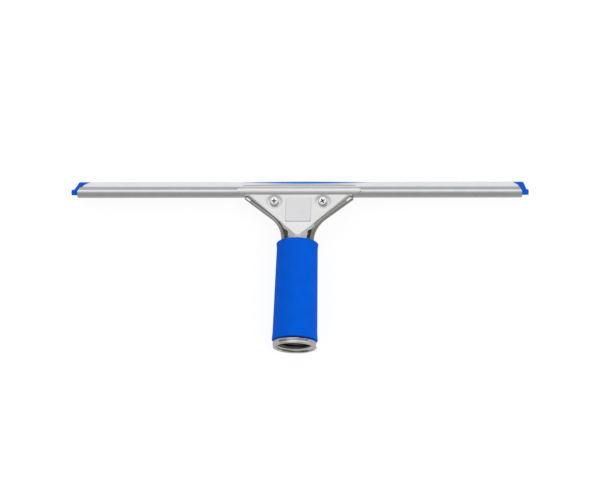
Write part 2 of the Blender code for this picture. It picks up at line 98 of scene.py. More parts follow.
# Handle
sheet = 0.0014
sleeve_start = 0.0052
sleeve_end = 0.0857
tube_radius = 0.0150
neck_radius = 0.0128
taper_end = 0.0810
neck_start = 0.0872
neck_wall = math.radians(28)
seam_gap = 0.0010
fan_radius = 0.0232
fan_angle = math.radians(53)
fan_arc_end = neck_start + fan_radius * math.sin(fan_angle)
pan_fillet = 0.0030
rim_proud = 0.0009
rim_corner = 0.0020
rim_end = bead_place - bead_radius - fit
# Where the rims' inner walls next to the plate get painted shade
rim_gap_start = fan_arc_end - 0.012
rim_gap_depth = 0.0022
# Length of each rim's end that gets a painted highlight
rim_highlight_length = 0.0032
jaw_half = 0.0487
jaw_gap_half = 0.0034
jaw_fillet = 0.0020
jaw_reach = 0.0066
jaw_clearance = 0.00015
jaw_widening = 0.0032
jaw_cut = 0.0089
jaw_cut_start = 0.3
jaw_cut_ease = 0.34
plate_under = bead_height + jaw_gap_half
plate_top = plate_under + sheet
floor_inner = bead_height - jaw_gap_half
tongue_end = 0.0710
tongue_half = 0.0074
tongue_crown = 0.0092
tongue_side_drop = 0.0014
step_start = 0.0838
step_length = 0.0074
step_rows = (0.0835, 0.0915)
ramp_end = 0.1018
ramp_slope = 0.16
ramp_soft = 0.0030
shoulder_start = 0.0940
shoulder_end = 0.0975
crease_tip = 0.0911
crease_slant = 1.17
crease_slope = 0.25
crease_soft = 0.0012
plate_gap = 0.0009
panel_start = 0.1015
panel_end = 0.1211

# Screws and nuts
screw_x = 0.01905
screw_place = 0.1182
seat_depth = 0.0006
seat_squash = 1.25
seat_fade = 0.0028
seat_height = plate_top - seat_depth
shank_radius = 0.0016
shank_length = 0.0124
hole_radius = 0.0022
nut_flats = 0.0070
nut_height = 0.0032


def length_setting(name, description, default):
    """A length that the add-on lets its user set."""
    return bpy.props.FloatProperty(
        name=name, description=description, default=default, unit="LENGTH"
    )


def colour_setting(name, description, default):
    """A colour that the add-on lets its user set."""
    return bpy.props.FloatVectorProperty(
        name=name, description=description, default=default, subtype="COLOR", size=3
    )


class SqueegeeSizes(bpy.types.PropertyGroup):
    """Sizes of the details that the plain solids leave out"""

    strip: length_setting("Strip thickness", "Thickness of the channel's folded strip", 0.0006)
    edge_round: length_setting(
        "Edge rounding", "How far the edges of the pressed sheets are rounded off", 0.0003
    )
    pinch: length_setting(
        "Lip pinch", "How far the clamp presses the channel's upper lip down", 0.0012
    )
    pinch_reach: length_setting(
        "Pinch reach", "How far along the channel the pressed lip runs from its middle", 0.072
    )
    blade_bow: length_setting(
        "Blade bow", "How far the blade's edge is bent up where the lip is pressed", 0.0007
    )
    seat_radius: length_setting(
        "Screw seat radius", "Radius of the flat floor of each dished screw seat", 0.0039
    )
    seat_slope: length_setting(
        "Screw seat slope", "Width of the slope round each dished screw seat", 0.0038
    )
    head_radius: length_setting("Screw head radius", "Radius of the pan heads", 0.0037)
    head_height: length_setting(
        "Screw head height", "Height of the pan heads above their seats", 0.0024
    )
    panel_width: length_setting("Panel width", "Width of the bare raised panel", 0.0205)
    panel_height: length_setting(
        "Panel height", "How far the bare panel stands proud of the plate", 0.0004
    )
    thread_pitch: length_setting(
        "Thread pitch", "Pitch of the rolled thread in the pole socket", 0.0036
    )
    thread_depth: length_setting(
        "Thread depth", "Depth of the rolled thread in the pole socket", 0.0008
    )


class SqueegeeColours(bpy.types.PropertyGroup):
    """Colours of the finishes"""

    plate: colour_setting(
        "Front plate", "Bright satin steel of the front plate", (0.84, 0.845, 0.86)
    )
    # Darker than the plate's steel: painted shade for the darker surroundings the shell mirrors
    shell: colour_setting("Rear shell", "Satin steel of the rear shell", (0.38, 0.365, 0.345))
    strip: colour_setting("Channel", "Bright steel of the folded channel", (0.78, 0.80, 0.82))
    polished: colour_setting("Polished steel", "Steel of the rims and the nuts", (0.80, 0.79, 0.78))
    # This bright steel also paints the highlight on the rims' ends
    screw: colour_setting(
        "Bright steel", "Bright steel of the screws, socket and worn corners", (0.93, 0.93, 0.93)
    )
    # Painted shade for the screws' recesses, the gaps by the rims and the socket's bore
    shade: colour_setting(
        "Painted shade in recesses", "Dark steel painted as shade in recesses and gaps", (0.16, 0.145, 0.13)
    )
    rubber: colour_setting("Sleeve rubber", "Blue rubber of the grip sleeve", (0.0, 0.128, 0.84))
    blade: colour_setting("Blade rubber", "Blue rubber of the blade", (0.0, 0.24, 1.0))
    plastic: colour_setting("Clip plastic", "Blue plastic of the end clips", (0.0, 0.13, 0.78))


def settings(context):
    """The squeegee's sizes and colours."""
    return context.scene.squeegee_sizes, context.scene.squeegee_colours


def ease(share):
    """A smooth step from 0 to 1."""
    share = min(max(share, 0), 1)
    return share * share * (3 - 2 * share)


def steps(start, end, count):
    """Evenly spaced values from start to end, both included."""
    return [start + (end - start) * index / count for index in range(count + 1)]


def steps_through(places, counts):
    """Steps through several places, with a count for each stretch between them."""
    values = [places[0]]
    for start, end, count in zip(places, places[1:], counts):
        values += steps(start, end, count)[1:]
    return values


def arc(centre, radius, start_angle, end_angle, count):
    """Points on an arc in a plane."""
    return [
        (centre[0] + radius * math.cos(angle), centre[1] + radius * math.sin(angle))
        for angle in steps(start_angle, end_angle, count)
    ]


def on_handle(x, place, height):
    """A point given across the handle, from its mouth and from its axis."""
    return Vector((x, mouth_y + place, axis_height + height))


def on_channel():
    """The matrix from length, depth and height on the channel to the solids' frame."""
    bead = on_handle(0, bead_place, bead_height)
    return Matrix.Translation(bead) @ Matrix.Rotation(-blade_bend, 4, "X")


def bent_grid(shape, columns, rows, corner):
    """Add a grid of faces with each corner where corner(column, row) says."""
    made = bmesh.ops.create_grid(shape, x_segments=columns, y_segments=rows, size=1)
    for vert in made["verts"]:
        column = round((vert.co.x + 1) / 2 * columns)
        row = round((vert.co.y + 1) / 2 * rows)
        vert.co = corner(column, row)


def close_shape(shape):
    """Join a shape's seams, close its open ends and turn its faces outwards."""
    bmesh.ops.remove_doubles(shape, verts=shape.verts, dist=weld)
    rims = [edge for edge in shape.edges if len(edge.link_faces) == 1]
    bmesh.ops.holes_fill(shape, edges=rims, sides=0)
    bmesh.ops.recalc_face_normals(shape, faces=shape.faces)


def move(shape, matrix):
    """Move, turn or squash a whole shape."""
    bmesh.ops.transform(shape, matrix=matrix, verts=shape.verts)


def edges_over(shape, degrees):
    """A shape's edges whose faces turn by more than an angle."""
    return [edge for edge in shape.edges if edge.calc_face_angle(0) > math.radians(degrees)]


def soften(shape, edges, offset, segments):
    """Round some of a shape's edges."""
    bmesh.ops.bevel(
        shape,
        geom=edges,
        affect="EDGES",
        offset=offset,
        segments=segments,
        profile=0.5,
        material=-1,
    )


def add_bar(shape, segments, foot, top, height):
    """Add a bar along Z, with a radius at its foot and one at its top."""
    bmesh.ops.create_cone(
        shape, cap_ends=True, segments=segments, radius1=foot, radius2=top, depth=height
    )


def mark_edges(shape):
    """Shade a shape smooth, apart from its sharp edges."""
    for face in shape.faces:
        face.smooth = True
    for edge in shape.edges:
        edge.smooth = edge.calc_face_angle(0) <= sharp


def add_piece(name, shape, material):
    """Make a shaded mesh object of a shape."""
    mark_edges(shape)
    mesh = bpy.data.meshes.new(name)
    shape.to_mesh(mesh)
    shape.free()
    if material:
        mesh.materials.append(material)
    piece = bpy.data.objects.new(name, mesh)
    bpy.context.scene.collection.objects.link(piece)
    return piece


def settle(piece, body, node):
    """Put a finished piece on its body, in place of its plain solid."""
    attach(piece, body)
    if node:
        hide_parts(node)


def thicken(piece, side, edge_round):
    """Give a pressed sheet its thickness, to one side (-1 or 1), and rounded edges."""
    solidify = piece.modifiers.new("sheet", "SOLIDIFY")
    solidify.thickness = sheet
    solidify.offset = side
    solidify.use_even_offset = True
    solidify.use_quality_normals = True
    bevel = piece.modifiers.new("edges", "BEVEL")
    bevel.width = edge_round
    bevel.segments = 3
    bevel.limit_method = "ANGLE"
    bevel.angle_limit = math.radians(50)
    bevel.use_clamp_overlap = True
    piece.modifiers.new("shading", "WEIGHTED_NORMAL").keep_sharp = True


def carve(piece, cutter):
    """Cut one piece with another, and take the cutter away."""
    modifier = piece.modifiers.new("cut", "BOOLEAN")
    modifier.operation = "DIFFERENCE"
    modifier.solver = "EXACT"
    modifier.object = cutter
    depsgraph = bpy.context.evaluated_depsgraph_get()
    cut = bpy.data.meshes.new_from_object(piece.evaluated_get(depsgraph))
    piece.modifiers.clear()
    piece.data = cut
    bpy.data.objects.remove(cutter)


def finish_faces(piece, material, chosen):
    """Give a second material to the faces whose centre is chosen."""
    piece.data.materials.append(material)
    for face in piece.data.polygons:
        if chosen(face.center):
            face.material_index = 1


def shade_flats(piece):
    """Shade a cut or bevelled piece's flat faces flat, up to its soft edges."""
    shape = bmesh.new()
    shape.from_mesh(piece.data)
    mark_edges(shape)
    shape.to_mesh(piece.data)
    shape.free()
    piece.modifiers.new("shading", "WEIGHTED_NORMAL").keep_sharp = True


def shader_of(tree):
    """A material's main shader."""
    return tree.nodes["Principled BSDF"]


def add_node(tree, kind, values=None, operation=None):
    """Add a shader node, with values on some of its sockets."""
    node = tree.nodes.new(f"ShaderNode{kind}")
    if operation:
        node.operation = operation
    for socket, value in (values or {}).items():
        node.inputs[socket].default_value = value
    return node


def wire(tree, *wires):
    """Link nodes, each link given as node, output, node and input."""
    for source, output, target, entry in wires:
        tree.links.new(source.outputs[output], target.inputs[entry])


def set_stops(ramp, table):
    """Give a colour ramp its places and colours."""
    stops = ramp.color_ramp.elements
    while len(stops) > 1:
        stops.remove(stops[-1])
    for index, (place, colour) in enumerate(table):
        stop = stops[0] if index == 0 else stops.new(place)
        stop.position = place
        stop.color = (*colour, 1)


def shade_of(colour, share):
    """A colour at a share of its brightness."""
    return tuple(part * share for part in colour)


def new_finish(name, colour, roughness, metallic):
    """A material with its even values on the shader's own sockets."""
    material = bpy.data.materials.new(name)
    material.use_nodes = True
    shader = shader_of(material.node_tree)
    shader.inputs["Base Color"].default_value = (*colour, 1)
    shader.inputs["Roughness"].default_value = roughness
    shader.inputs["Metallic"].default_value = metallic
    return material


def add_noise(tree, scale, stretch, detail):
    """A noise on the piece's own coordinates, stretched along its axes."""
    place = add_node(tree, "TexCoord")
    mapping = add_node(tree, "Mapping", {"Scale": stretch})
    noise = add_node(tree, "TexNoise", {"Scale": scale, "Detail": detail})
    wire(tree, (place, "Object", mapping, "Vector"), (mapping, "Vector", noise, "Vector"))
    return noise


def vary_roughness(tree, noise, low, high):
    """Let a noise move the roughness between two values."""
    limits = {"From Min": 0.3, "From Max": 0.7, "To Min": low, "To Max": high}
    spread = add_node(tree, "MapRange", limits)
    wire(tree, (noise, "Fac", spread, "Value"), (spread, "Result", shader_of(tree), "Roughness"))


def vary_colour(tree, noise, first, second):
    """Let a noise move the colour between two colours."""
    ramp = add_node(tree, "ValToRGB")
    set_stops(ramp, ((0.35, first), (0.65, second)))
    wire(tree, (noise, "Fac", ramp, "Fac"), (ramp, "Color", shader_of(tree), "Base Color"))


def add_relief(tree, noise, strength, distance):
    """Let a noise raise the surface a little."""
    bump = add_node(tree, "Bump", {"Strength": strength, "Distance": distance})
    wire(tree, (noise, "Fac", bump, "Height"), (bump, "Normal", shader_of(tree), "Normal"))


def steel_finish(name, colour, roughness, grain, relief, along=None):
    """Stainless steel with a fine grain, drawn out along X where asked, and uneven gloss."""
    material = new_finish(name, colour, roughness, 1)
    tree = material.node_tree
    fine = add_noise(tree, 1, (along or grain, grain, grain), 3)
    clouds = add_noise(tree, 110, (1, 1, 1), 3)
    vary_roughness(tree, clouds, roughness * 0.85, roughness * 1.15)
    vary_colour(tree, clouds, shade_of(colour, 0.95), colour)
    add_relief(tree, fine, relief, 0.00003)
    return material


def rubber_finish(name, colour, roughness, grain, relief):
    """Soft rubber with a fine pebbled skin and slightly uneven colour."""
    material = new_finish(name, colour, roughness, 0)
    tree = material.node_tree
    shader_of(tree).inputs["Specular IOR Level"].default_value = 0.06
    fine = add_noise(tree, grain, (1, 1, 1), 3)
    clouds = add_noise(tree, 90, (1, 1, 1), 2)
    vary_roughness(tree, fine, roughness * 0.9, roughness * 1.1)
    vary_colour(tree, clouds, shade_of(colour, 0.93), colour)
    add_relief(tree, fine, relief, 0.00012)
    return material


def flank_directions():
    """The unit vectors along a flank of the channel and out of it, in depth and height."""
    along = Vector((math.cos(flare_angle), math.sin(flare_angle)))
    out = Vector((-math.sin(flare_angle), math.cos(flare_angle)))
    return along, out


def waist_centre():
    """Centre of the crease between the bead and a flank, in depth and height."""
    along, out = flank_directions()
    height = Vector((lip_depth, lip_half)).dot(out) + waist_fillet
    length = math.sqrt((bead_radius + waist_fillet) ** 2 - height**2)
    return along * length + out * height


def channel_contour(offset, start_angle, reach, arc_count, crease_count):
    """The channel's upper face moved out by offset: bead, crease, and flank to a reach along it."""
    along, out = flank_directions()
    centre = waist_centre()
    meet = math.atan2(centre.y, centre.x)
    crease_end = flare_angle - math.pi / 2 + math.tau
    points = arc((0, 0), bead_radius + offset, start_angle, meet, arc_count)
    points += arc(centre, waist_fillet - offset, meet + math.pi, crease_end, crease_count)[1:]
    height = Vector((lip_depth, lip_half)).dot(out) + offset
    start = Vector(points[-1])
    end = along * reach + out * height
    points += [tuple(start.lerp(end, share)) for share in (0.2, 0.4, 0.6, 0.8, 1)]
    return points


def end_line(depth):
    """How far along X the channel's end lies at a depth: rounded at the bead, swept at the lips."""
    past = min(1, max(0, depth - end_round_start) / end_round_length)
    sweep = max(0, depth - sweep_start) / (lip_depth - sweep_start)
    return channel_half - end_round_cut * past * (2 - past) - sweep_cut * sweep**2


def pinch_share(x, sizes):
    """How much the clamp presses the channel here, from 0 to 1."""
    return ease(1 - abs(x - pinch_middle) / sizes.pinch_reach)


def strip_outline(sizes):
    """The folded strip in section: bead, waist, flanks and flat hems."""
    along, out = flank_directions()
    lip = Vector((lip_depth, lip_half))
    reach = lip.dot(along)
    wall = sizes.strip
    upper = channel_contour(0, math.pi, reach, 22, 8)
    fold = lip - out * wall
    upper += arc(fold, wall, flare_angle + math.pi / 2, flare_angle - math.pi / 2, 8)[1:]
    hem = lip - out * 2 * wall - along * hem_width
    upper.append((hem.x, hem.y))
    upper += channel_contour(-wall, math.pi, reach - hem_width, 22, 8)[::-1]
    lower = [(depth, -height) for depth, height in upper[::-1]]
    return upper[:-1] + lower[:-1]


def run_along(outline, stations, corner):
    """Carry a closed outline through stations along the channel, and close both ends."""
    shape = bmesh.new()
    count = len(outline)

    def at(column, row):
        """One corner of the run."""
        depth, height = outline[column % count]
        return corner(stations[row], depth, height, row)

    bent_grid(shape, count, len(stations) - 1, at)
    close_shape(shape)
    move(shape, on_channel())
    return shape


def channel_stations(reach):
    """Places along X: close together where the clamp presses."""
    dense_half = 0.078
    outer = [0.100, 0.160, reach]
    return [-x for x in outer[::-1]] + steps(-dense_half, dense_half, 52) + outer


def paint_shade_by_depth(material, tint, levels):
    """Paint shade on a steel: darken it by a tint to the levels given at depths on the channel."""
    tree = material.node_tree
    shader = shader_of(tree)
    axis = on_channel().to_3x3() @ Vector((0, 1, 0))
    bead = on_channel().translation.dot(axis)
    first, last = levels[0][0], levels[-1][0]
    place = add_node(tree, "TexCoord")
    depth = add_node(tree, "VectorMath", {1: axis}, "DOT_PRODUCT")
    spread = add_node(tree, "MapRange", {"From Min": bead + first, "From Max": bead + last})
    ramp = add_node(tree, "ValToRGB")
    set_stops(
        ramp, [((at - first) / (last - first), shade_of(tint, level)) for at, level in levels]
    )
    mix = add_node(tree, "Mix")
    mix.data_type = "RGBA"
    mix.blend_type = "MULTIPLY"
    mix.inputs["Factor"].default_value = 1
    tree.links.new(shader.inputs["Base Color"].links[0].from_socket, mix.inputs[6])
    wire(
        tree,
        (place, "Object", depth, 0),
        (depth, "Value", spread, "Value"),
        (spread, "Result", ramp, "Fac"),
        (ramp, "Color", mix, 7),
        (mix, 2, shader, "Base Color"),
    )


# Painted shade and reflections: how dark the channel and front jaw are, at depths on the channel
strip_painted_shade = (
    (-0.0042, 1),
    (-0.0030, 1),
    (-0.0016, 0.60),
    (0.0030, 0.42),
    (0.0054, 0.52),
    (0.0064, 1),
)
jaw_painted_shade = (
    (-0.0042, 1),
    (-0.0036, 1),
    (-0.0027, 0.80),
    (-0.0018, 0.90),
    (-0.0006, 0.62),
    (0.0075, 0.68),
)


class SQUEEGEE_OT_channel(bpy.types.Operator):
    """Make the folded channel, with its upper lip pressed down at the clamp"""

    bl_idname = "squeegee.channel"
    bl_label = "Channel"

    def execute(self, context):
        """Run the strip's section along X and bend its upper lip."""
        sizes, colours = settings(context)
        stations = channel_stations(channel_half)
        last = len(stations) - 1

        def corner(x, depth, height, row):
            """A corner of the strip, pressed down near the clamp and cut off at its ends."""
            if row in (0, last):
                x = math.copysign(end_line(depth), x)
            if height > 0:
                share = ease((depth - jaw_reach) / (lip_depth - jaw_reach))
                height -= sizes.pinch * share * pinch_share(x, sizes)
            return Vector((x, depth, height))

        shape = run_along(strip_outline(sizes), stations, corner)
        finish = steel_finish("bright_strip", colours.strip, 0.17, 2400, 0.10, along=30)
        # Painted shade and reflections in the crease and on the flanks
        paint_shade_by_depth(finish, (1, 1, 1), strip_painted_shade)
        piece = add_piece("folded_channel", shape, finish)
        settle(piece, "channel", "channel")
        return {"FINISHED"}


def blade_outline():
    """The rubber strip in section: a round bulb, a web and a square-edged blade."""
    edge = 0.00015
    web_play = 0.0009
    web = waist_centre().y - waist_fillet - web_play
    rows = (blade_root, blade_cut_depth - 0.0001, blade_cut_depth + 0.0001, 0.0145, 0.0160)
    upper = arc((0, 0), bulb_radius, math.pi, math.asin(web / bulb_radius), 12)
    upper += [(blade_root - 0.0007, web)] + [(depth, blade_half) for depth in rows]
    upper += [(blade_depth - edge, blade_half), (blade_depth, blade_half - edge)]
    lower = [(depth, -height) for depth, height in upper[::-1]]
    return upper + lower[:-1]


class SQUEEGEE_OT_blade(bpy.types.Operator):
    """Make the rubber blade, bent up a little where the lip is pressed"""

    bl_idname = "squeegee.blade"
    bl_label = "Blade"

    def execute(self, context):
        """Run the rubber's section along X."""
        sizes, colours = settings(context)
        stations = channel_stations(blade_end)
        last = len(stations) - 1

        def corner(x, depth, height, row):
            """A corner of the rubber, cut back at its ends and bent at the clamp."""
            if row in (0, last) and depth < blade_cut_depth:
                reach = channel_half - sweep_cut if depth < blade_root else end_line(depth)
                x = math.copysign(reach, x)
            bend = max(0, (depth - blade_root) / (blade_depth - blade_root)) ** 1.4
            return Vector((x, depth, height + sizes.blade_bow * bend * pinch_share(x, sizes)))

        shape = run_along(blade_outline(), stations, corner)
        finish = rubber_finish("blue_blade_rubber", colours.blade, 0.50, 1500, 0.10)
        piece = add_piece("blade_strip", shape, finish)
        settle(piece, "blade", "blade")
        return {"FINISHED"}


def make_clip(side):
    """A moulded end clip: a flared wing over the lips' ends, and a knob whose peg is in the bead"""
    top = lip_depth + 0.0008
    bottom = 0.0010
    overhang = 0.0038
    depths = steps(bottom, top, 8)

    def corner(column, row):
        """A corner of the wing's outline loop at one level of depth."""
        depth = depths[row]
        half = max(0.0016, lip_half + 0.0001 - (top - depth) * math.tan(flare_angle))
        inner = end_line(depth) + fit
        outer = channel_half + overhang - overhang * (depth - bottom) / (top - bottom)
        ring = ((inner, -half), (outer, -half), (outer, half), (inner, half))
        x, height = ring[column % 4]
        return Vector((side * x, depth, height))

    shape = bmesh.new()
    bent_grid(shape, 4, len(depths) - 1, corner)
    close_shape(shape)
    soften(shape, edges_over(shape, 30), 0.0005, 4)
    bead_end = Matrix.Translation((side * channel_half, 0, 0))
    bead_end = bead_end @ Matrix.Rotation(side * math.pi / 2, 4, "Y")
    knob_and_peg = ((0.0022, -0.0006, 0.0048, 0.0006), (0.0031, -0.0062, -fit, 0.0004))
    for radius, start, end, rounding in knob_and_peg:
        bar = bmesh.new()
        add_bar(bar, 40, radius, radius, end - start)
        move(bar, bead_end @ Matrix.Translation((0, 0, (start + end) / 2)))
        soften(bar, edges_over(bar, 60), rounding, 4)
        close_shape(bar)
        mesh = bpy.data.meshes.new("bar")
        bar.to_mesh(mesh)
        bar.free()
        shape.from_mesh(mesh)
        bpy.data.meshes.remove(mesh)
    move(shape, on_channel())
    return shape


class SQUEEGEE_OT_end_clips(bpy.types.Operator):
    """Make the two moulded end clips"""

    bl_idname = "squeegee.end_clips"
    bl_label = "End clips"

    def execute(self, context):
        """Make one clip at each end of the channel."""
        colours = context.scene.squeegee_colours
        finish = rubber_finish("blue_clip_plastic", colours.plastic, 0.38, 900, 0.05)
        for side, word in ((-1, "left"), (1, "right")):
            piece = add_piece(f"clip_moulding_{word}", make_clip(side), finish)
            settle(piece, f"clip_{word}", f"end_clip_{word}")
        return {"FINISHED"}


def outline_angle(place):
    """Angle of the rear shell's outline from the handle's axis."""
    sine = (place - neck_start) / fan_radius
    return math.asin(min(max(sine, 0), math.sin(fan_angle)))


def outer_half_width(place):
    """Half width over the rear shell."""
    if place < taper_end:
        share = (place - sleeve_start) / (taper_end - sleeve_start)
        return tube_radius + (neck_radius - tube_radius) * share
    straight = max(0, place - fan_arc_end)
    curved = fan_radius * (1 - math.cos(outline_angle(place)))
    return neck_radius + curved + straight * math.tan(fan_angle)


def inner_half_width(place):
    """Half width between the rear shell's walls."""
    return outer_half_width(place) - sheet / math.cos(outline_angle(place))


floor_columns = 8
fillet_columns = 8
wall_columns = 12
half_columns = floor_columns + fillet_columns + wall_columns


def tube_points(place):
    """Right half of the shell's inner face as a tube, from the floor up to its open edge."""
    half = inner_half_width(place)
    height = min(half, neck_radius - sheet) if place >= taper_end else half
    closed = math.acos(seam_gap / 2 / half)
    opened = ease((place - taper_end) / (neck_start - taper_end))
    wall = closed + (neck_wall - closed) * opened
    angles = steps(0, math.pi / 2, floor_columns + fillet_columns)
    angles += steps(math.pi / 2, math.pi / 2 + wall, wall_columns)[1:]
    return [(half * math.sin(angle), -height * math.cos(angle)) for angle in angles]


def pan_points(place):
    """Right half of the shell's inner face as a pan, from the floor up to the rim."""
    half = inner_half_width(place)
    past = max(0, place - (rim_end - rim_corner)) / rim_corner
    top = plate_top + rim_proud - rim_corner * (1 - math.sqrt(1 - min(past, 1) ** 2))
    points = [(x, floor_inner) for x in steps(0, half - pan_fillet, floor_columns)[:-1]]
    centre = (half - pan_fillet, floor_inner + pan_fillet)
    points += arc(centre, pan_fillet, -math.pi / 2, 0, fillet_columns)
    points += [(half, height) for height in steps(floor_inner + pan_fillet, top, wall_columns)[1:]]
    return points


def shell_half(place):
    """Right half of the shell's inner face, from the tube's section to the pan's."""
    share = ease((place - neck_start) / (fan_arc_end - neck_start))
    return [
        (tube[0] + (pan[0] - tube[0]) * share, tube[1] + (pan[1] - tube[1]) * share)
        for tube, pan in zip(tube_points(place), pan_points(place))
    ]


def jaw_path(side):
    """A jaw's gripping face from the flat sheet round the bead to its edge: place, height, run."""
    level = bead_height + side * jaw_gap_half
    bead = Vector((bead_place, bead_height))
    radius = bead_radius + jaw_clearance
    rise = side * (jaw_gap_half + jaw_fillet)
    back = math.sqrt((radius + jaw_fillet) ** 2 - rise**2)
    centre = bead + Vector((-back, rise))
    tangent = math.atan2(rise, -back)
    points = arc(centre, jaw_fillet, -side * math.pi / 2, tangent - side * math.pi, 8)
    depth_axis = Vector((math.cos(blade_bend), -math.sin(blade_bend)))
    height_axis = Vector((math.sin(blade_bend), math.cos(blade_bend)))
    start = side * (tangent + blade_bend)
    arc_count = 26 if side > 0 else 8
    for depth, height in channel_contour(jaw_clearance, start, jaw_reach, arc_count, 8)[1:]:
        point = bead + depth_axis * depth + height_axis * height * side
        points.append((point.x, point.y))
    points[0] = (points[0][0], level)
    runs = [0]
    for first, second in zip(points, points[1:]):
        runs.append(runs[-1] + math.dist(first, second))
    return [(place, height, run) for (place, height), run in zip(points, runs)]


def jaw_width(run, end, root):
    """Half width of a jaw along its path, narrow at its root and at its cut corners."""
    half = root + (jaw_half - root) * ease(min(1, run / jaw_widening))
    past = max(0, run / end - jaw_cut_start)
    return half - jaw_cut * (1 - math.exp(-past / jaw_cut_ease))


def open_holes(shape, height):
    """Open a round hole for each screw in a sheet near a height."""
    for x in (-screw_x, screw_x):
        centre = on_handle(x, screw_place, height)
        near = [v for v in shape.verts if math.dist(v.co.xy, centre.xy) < hole_radius * 0.92]
        edges = [edge for vert in near for edge in vert.link_edges]
        ring = {vert for edge in edges for vert in edge.verts if vert not in near}
        bmesh.ops.delete(shape, geom=near, context="VERTS")
        for vert in ring:
            away = (vert.co.xy - centre.xy).normalized() * hole_radius
            vert.co.x = centre.x + away.x
            vert.co.y = centre.y + away.y


class SQUEEGEE_OT_rear_shell(bpy.types.Operator):
    """Make the pressed rear half of the handle: seamed tube, neck, pan with rims, and rear jaw"""

    bl_idname = "squeegee.rear_shell"
    bl_label = "Rear shell"

    def execute(self, context):
        """Bend one grid into the tube and pan, and another into the jaw."""
        sizes, colours = settings(context)
        corner_start = rim_end - rim_corner
        stops = (sleeve_start, taper_end, neck_start, fan_arc_end, corner_start, rim_end)
        places = steps_through(stops, (16, 8, 30, 22, 6))
        halves = [shell_half(place) for place in places]

        def corner(column, row):
            """A corner of the tube and pan."""
            offset = column - half_columns
            x, height = halves[row][abs(offset)]
            return on_handle(math.copysign(x, offset), places[row], height)

        path = jaw_path(-1)
        root = inner_half_width(path[0][0]) - plate_gap / math.cos(fan_angle)
        end = path[-1][2]
        pan_edge = halves[-1][floor_columns][0]

        def jaw_corner(column, row):
            """A corner of the jaw, whose first row is the pan's last one."""
            share = column / floor_columns - 1
            if row == 0:
                return on_handle(share * pan_edge, rim_end, floor_inner)
            place, height, run = path[row - 1]
            return on_handle(share * jaw_width(run, end, root), place, height)

        shape = bmesh.new()
        bent_grid(shape, 2 * half_columns, len(places) - 1, corner)
        bent_grid(shape, 2 * floor_columns, len(path), jaw_corner)
        bmesh.ops.remove_doubles(shape, verts=shape.verts, dist=weld)
        # The slot after a face's own is the one of its outer side, which the modifier adds
        for face in shape.faces:
            middle = face.calc_center_median() - on_handle(0, 0, 0)
            # Faces high on the rims' inner walls get painted shade in slot 3
            if middle.z > plate_under - rim_gap_depth and middle.y > rim_gap_start:
                at_edge = any(edge.is_boundary for edge in face.edges)
                # At the rims' ends, the outer side and the edge get a painted highlight
                at_corner = at_edge and middle.y > rim_end - rim_highlight_length
                face.material_index = 1 if at_corner else 3
        inside = steel_finish("bright_shell_inside", colours.polished, 0.30, 2000, 0.12)
        shader_of(inside.node_tree).inputs["Metallic"].default_value = 0.1
        # The shell's outer side is darker than the plate: painted shade for what its walls mirror
        outside = steel_finish("pressed_steel", colours.shell, 0.26, 2000, 0.12)
        highlit = steel_finish("painted_highlight_corner", colours.screw, 0.24, 2000, 0.05)
        # Painted shade for the gap between the plate and the rims
        gap = steel_finish("painted_gap_shade", shade_of(colours.shade, 0.4), 0.4, 2000, 0.1)
        piece = add_piece("shell_pressing", shape, inside)
        for extra in (outside, highlit, gap, outside):
            piece.data.materials.append(extra)
        thicken(piece, -1, sizes.edge_round)
        piece.modifiers["sheet"].material_offset = 1
        piece.modifiers["sheet"].material_offset_rim = 1
        settle(piece, "handle", "rear_shell")
        return {"FINISHED"}


def plate_half_width(place):
    """Half width of the front plate: tongue, shoulders, then clear of the rims."""
    beside_rim = inner_half_width(place) - plate_gap / math.cos(outline_angle(place))
    share = ease((place - shoulder_start) / (shoulder_end - shoulder_start))
    return tongue_half + (beside_rim - tongue_half) * share


def soft_rise(value, soft):
    """A value's rise above zero, rounded at its start."""
    value = max(0, value)
    return value * value / (2 * soft) if value < soft else value - soft / 2


def plate_height(place, x):
    """Height of the front plate's underside: arched tongue, step, then a plate creased in a V."""
    beside = abs(x) - crease_slant * max(0, place - crease_tip)
    crease = plate_under + ramp_slope * soft_rise(ramp_end - place, ramp_soft)
    crease -= crease_slope * soft_rise(beside, crease_soft)
    arched = tongue_crown - sheet - tongue_side_drop * min(abs(x) / tongue_half, 1.3) ** 2
    return arched + (crease - arched) * ease((place - step_start) / step_length)


def seat_drop(x, place, sizes):
    """How far a dished screw seat, shorter towards the jaw, lowers the plate here."""
    ahead = place - screw_place
    distance = math.hypot(abs(x) - screw_x, ahead * seat_squash if ahead > 0 else ahead)
    return seat_depth * (1 - ease((distance - sizes.seat_radius) / sizes.seat_slope))


